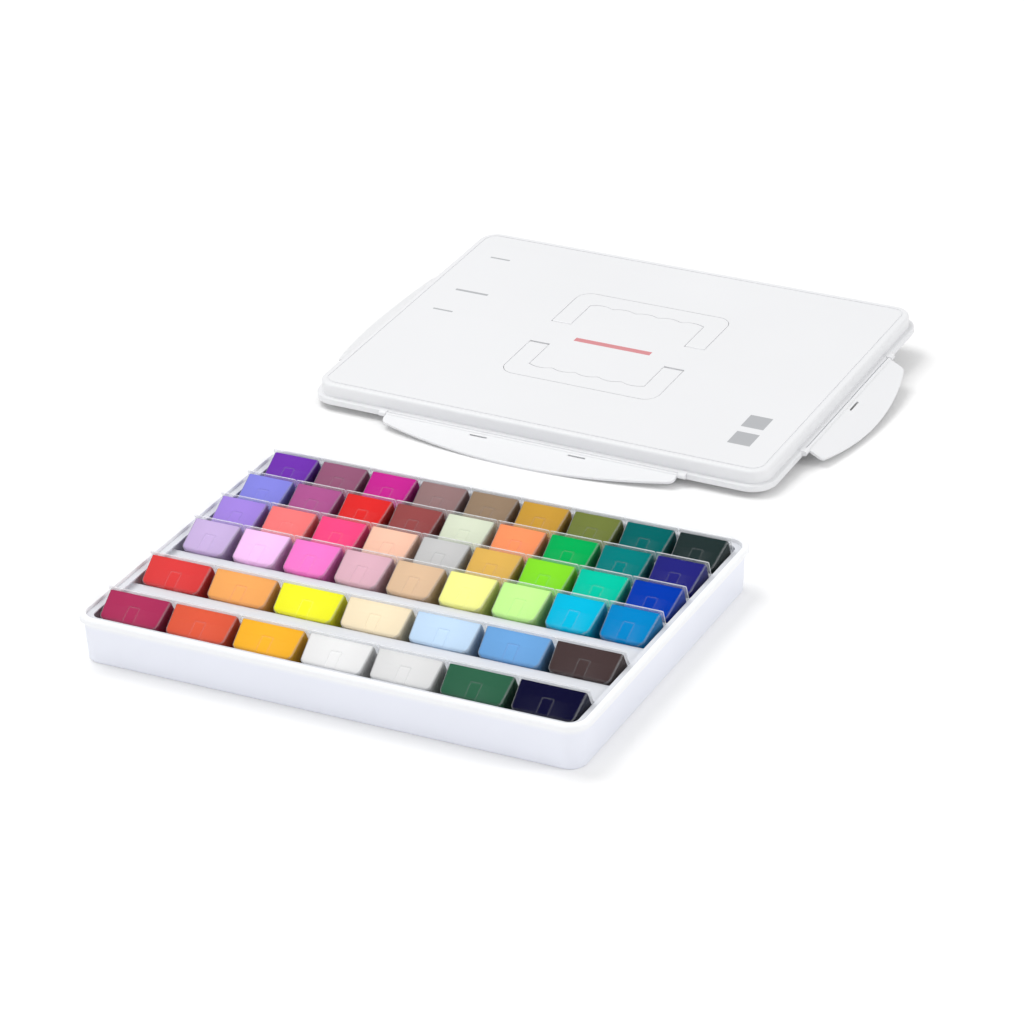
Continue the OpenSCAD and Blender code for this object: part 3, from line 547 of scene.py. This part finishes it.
def rectangle_mask():
    """Group whose mask is 1 where the distance to the centre is under half the size on each axis."""
    group = add_group(
        "rectangle_mask",
        [
            ("Place", "NodeSocketVector", (0, 0, 0)),
            ("Centre", "NodeSocketVector", (0, 0, 0)),
            ("Half size", "NodeSocketVector", (0.01, 0.01, 1)),
        ],
        [("Mask", "NodeSocketFloat")],
    )
    link = group.links.new
    given = add_node(group, "NodeGroupInput")
    made = add_node(group, "NodeGroupOutput")
    away = add_node(group, "ShaderNodeVectorMath", operation="SUBTRACT")
    size = add_node(group, "ShaderNodeVectorMath", operation="ABSOLUTE")
    room = add_node(group, "ShaderNodeVectorMath", operation="SUBTRACT")
    split = add_node(group, "ShaderNodeSeparateXYZ")
    least = add_node(group, "ShaderNodeMath", operation="MINIMUM")
    least_of_all = add_node(group, "ShaderNodeMath", operation="MINIMUM")
    inside = add_node(group, "ShaderNodeMath", {1: 0.0}, operation="GREATER_THAN")
    link(given.outputs["Place"], away.inputs[0])
    link(given.outputs["Centre"], away.inputs[1])
    link(away.outputs[0], size.inputs[0])
    link(given.outputs["Half size"], room.inputs[0])
    link(size.outputs[0], room.inputs[1])
    link(room.outputs[0], split.inputs[0])
    link(split.outputs[0], least.inputs[0])
    link(split.outputs[1], least.inputs[1])
    link(least.outputs[0], least_of_all.inputs[0])
    link(split.outputs[2], least_of_all.inputs[1])
    link(least_of_all.outputs[0], inside.inputs[0])
    link(inside.outputs[0], made.inputs["Mask"])
    return group


RECTANGLE = rectangle_mask()
# Centre, half width, half height and colour of each mark, in metres from the middle of the lid
MARKS = [
    ((-0.002, -0.0035), 0.034, 0.0028, RED_PRINT),
    ((-0.154, 0.039), 0.015, 0.0014, GREY_PRINT),
    ((-0.161, 0.002), 0.009, 0.0010, GREY_PRINT),
    ((-0.161, 0.102), 0.009, 0.0010, GREY_PRINT),
    ((0.158, -0.074), 0.0095, 0.0095, GREY_PRINT),
    ((0.159, -0.101), 0.0095, 0.0095, GREY_PRINT),
]
PRINT_STRENGTH = 0.72


def printed_marks(material):
    """Lays the marks over a material's colour, in the lid's own frame."""
    tree = material.node_tree
    surface = surface_of(material)
    place = add_node(tree, "ShaderNodeTexCoord")
    seat = {"Location": LID_PLACE, "Rotation": LID_TURN}
    lid_frame = add_node(tree, "ShaderNodeMapping", seat, vector_type="TEXTURE")
    tree.links.new(place.outputs["Object"], lid_frame.inputs["Vector"])
    colour = tuple(surface.inputs["Colour"].default_value)
    last = None
    for (x, y), half_width, half_height, ink in MARKS:
        mask = add_node(tree, "ShaderNodeGroup", node_tree=RECTANGLE)
        mask.inputs["Centre"].default_value = (x, y, LID_TOP + 1)
        mask.inputs["Half size"].default_value = (half_width, half_height, 1)
        tree.links.new(lid_frame.outputs[0], mask.inputs["Place"])
        strength = add_node(tree, "ShaderNodeMath", {1: PRINT_STRENGTH}, operation="MULTIPLY")
        tree.links.new(mask.outputs["Mask"], strength.inputs[0])
        layer = add_node(tree, "ShaderNodeMix", data_type="RGBA")
        layer.inputs[6].default_value = colour
        layer.inputs[7].default_value = ink
        tree.links.new(strength.outputs[0], layer.inputs[0])
        if last:
            tree.links.new(last.outputs[2], layer.inputs[6])
        last = layer
    tree.links.new(last.outputs[2], surface.inputs["Colour"])


lid_white = plastic("lid_white", LID_COLOUR, LID_ROUGHNESS)
for node in ("flap_front", "flap_back", "flap_left", "flap_right", "handle_front", "handle_back"):
    dress(node, lid_white)
shell_white = plastic("shell_white", LID_COLOUR, LID_ROUGHNESS)
printed_marks(shell_white)
dress("lid_shell", shell_white)
dress("lid_seal", plastic("seal_rubber", SEAL_COLOUR, SEAL_ROUGHNESS))

# ---- The studio ----
# A white table under soft light, seen from the photograph's angle. A large lamp stands high on
# the left, a smaller one on the right and a wide low one in front.
TABLE_SIZE = 30
TABLE_WHITE = 0.93
TABLE_ROUGHNESS = 0.9
TABLE_LIFT = 0.09
ROOM_LIGHT = 0.62
LAMP_AIM = (0, 0.15, 0)
CAMERA_PLACE = (1.1441, -2.0924, 1.3069)


def studio_white(name, strength):
    """Material of the table: plain white that takes the object's shadow, lifted a little in view."""
    material = bpy.data.materials.new(name)
    material.use_nodes = True
    shader = material.node_tree.nodes["Principled BSDF"]
    shader.inputs["Base Color"].default_value = (strength, strength, strength, 1)
    shader.inputs["Roughness"].default_value = TABLE_ROUGHNESS
    shader.inputs["Specular IOR Level"].default_value = 0.0
    shader.inputs["Emission Color"].default_value = (1, 1, 1, 1)
    path = add_node(material.node_tree, "ShaderNodeLightPath")
    lift = add_node(material.node_tree, "ShaderNodeMath", {1: TABLE_LIFT}, operation="MULTIPLY")
    material.node_tree.links.new(path.outputs["Is Camera Ray"], lift.inputs[0])
    material.node_tree.links.new(lift.outputs[0], shader.inputs["Emission Strength"])
    return material


bpy.ops.mesh.primitive_plane_add(size=TABLE_SIZE)
table = bpy.context.object
table.name = "table"
table.data.materials.append(studio_white("table_white", TABLE_WHITE))

world = bpy.data.worlds.new("soft_room")
bpy.context.scene.world = world
world.use_nodes = True
world.node_tree.nodes["Background"].inputs["Color"].default_value = (1.0, 1.0, 1.0, 1)
world.node_tree.nodes["Background"].inputs["Strength"].default_value = ROOM_LIGHT


def softbox(name, place, width, height, watts):
    """A rectangular lamp at a place, turned so that its -Z looks at the middle of the object."""
    lamp = bpy.data.lights.new(name, "AREA")
    lamp.shape = "RECTANGLE"
    lamp.size, lamp.size_y, lamp.energy = width, height, watts
    holder = bpy.data.objects.new(name, lamp)
    holder.location = place
    holder.rotation_euler = (Vector(place) - Vector(LAMP_AIM)).to_track_quat("Z", "Y").to_euler()
    bpy.context.collection.objects.link(holder)


softbox("key", (-1.3, 0.4, 2.9), 1.8, 1.8, 42)
softbox("side", (2.2, 0.6, 1.3), 0.8, 1.4, 14)
softbox("fill", (-0.4, -2.6, 0.9), 2.4, 1.2, 12)

# The camera stands where the photograph was taken from
azimuth, elevation, roll = math.radians(27.03), math.radians(27.12), math.radians(-1.85)
forward = np.array([
    -math.sin(azimuth) * math.cos(elevation),
    math.cos(azimuth) * math.cos(elevation),
    -math.sin(elevation),
])
level = np.array([math.cos(azimuth), math.sin(azimuth), 0.0])
upright = np.cross(level, forward)
right = level * math.cos(roll) + upright * math.sin(roll)
up = -level * math.sin(roll) + upright * math.cos(roll)
lens = bpy.data.cameras.new("camera")
lens.lens = 134.0
lens.sensor_width = 36.0
camera = bpy.data.objects.new("camera", lens)
bpy.context.collection.objects.link(camera)
bpy.context.scene.camera = camera
pose = Matrix.Identity(4)
for i in range(3):
    pose[i][0], pose[i][1], pose[i][2] = right[i], up[i], -forward[i]
    pose[i][3] = CAMERA_PLACE[i]
camera.matrix_world = pose

bpy.context.scene.view_settings.view_transform = "Standard"
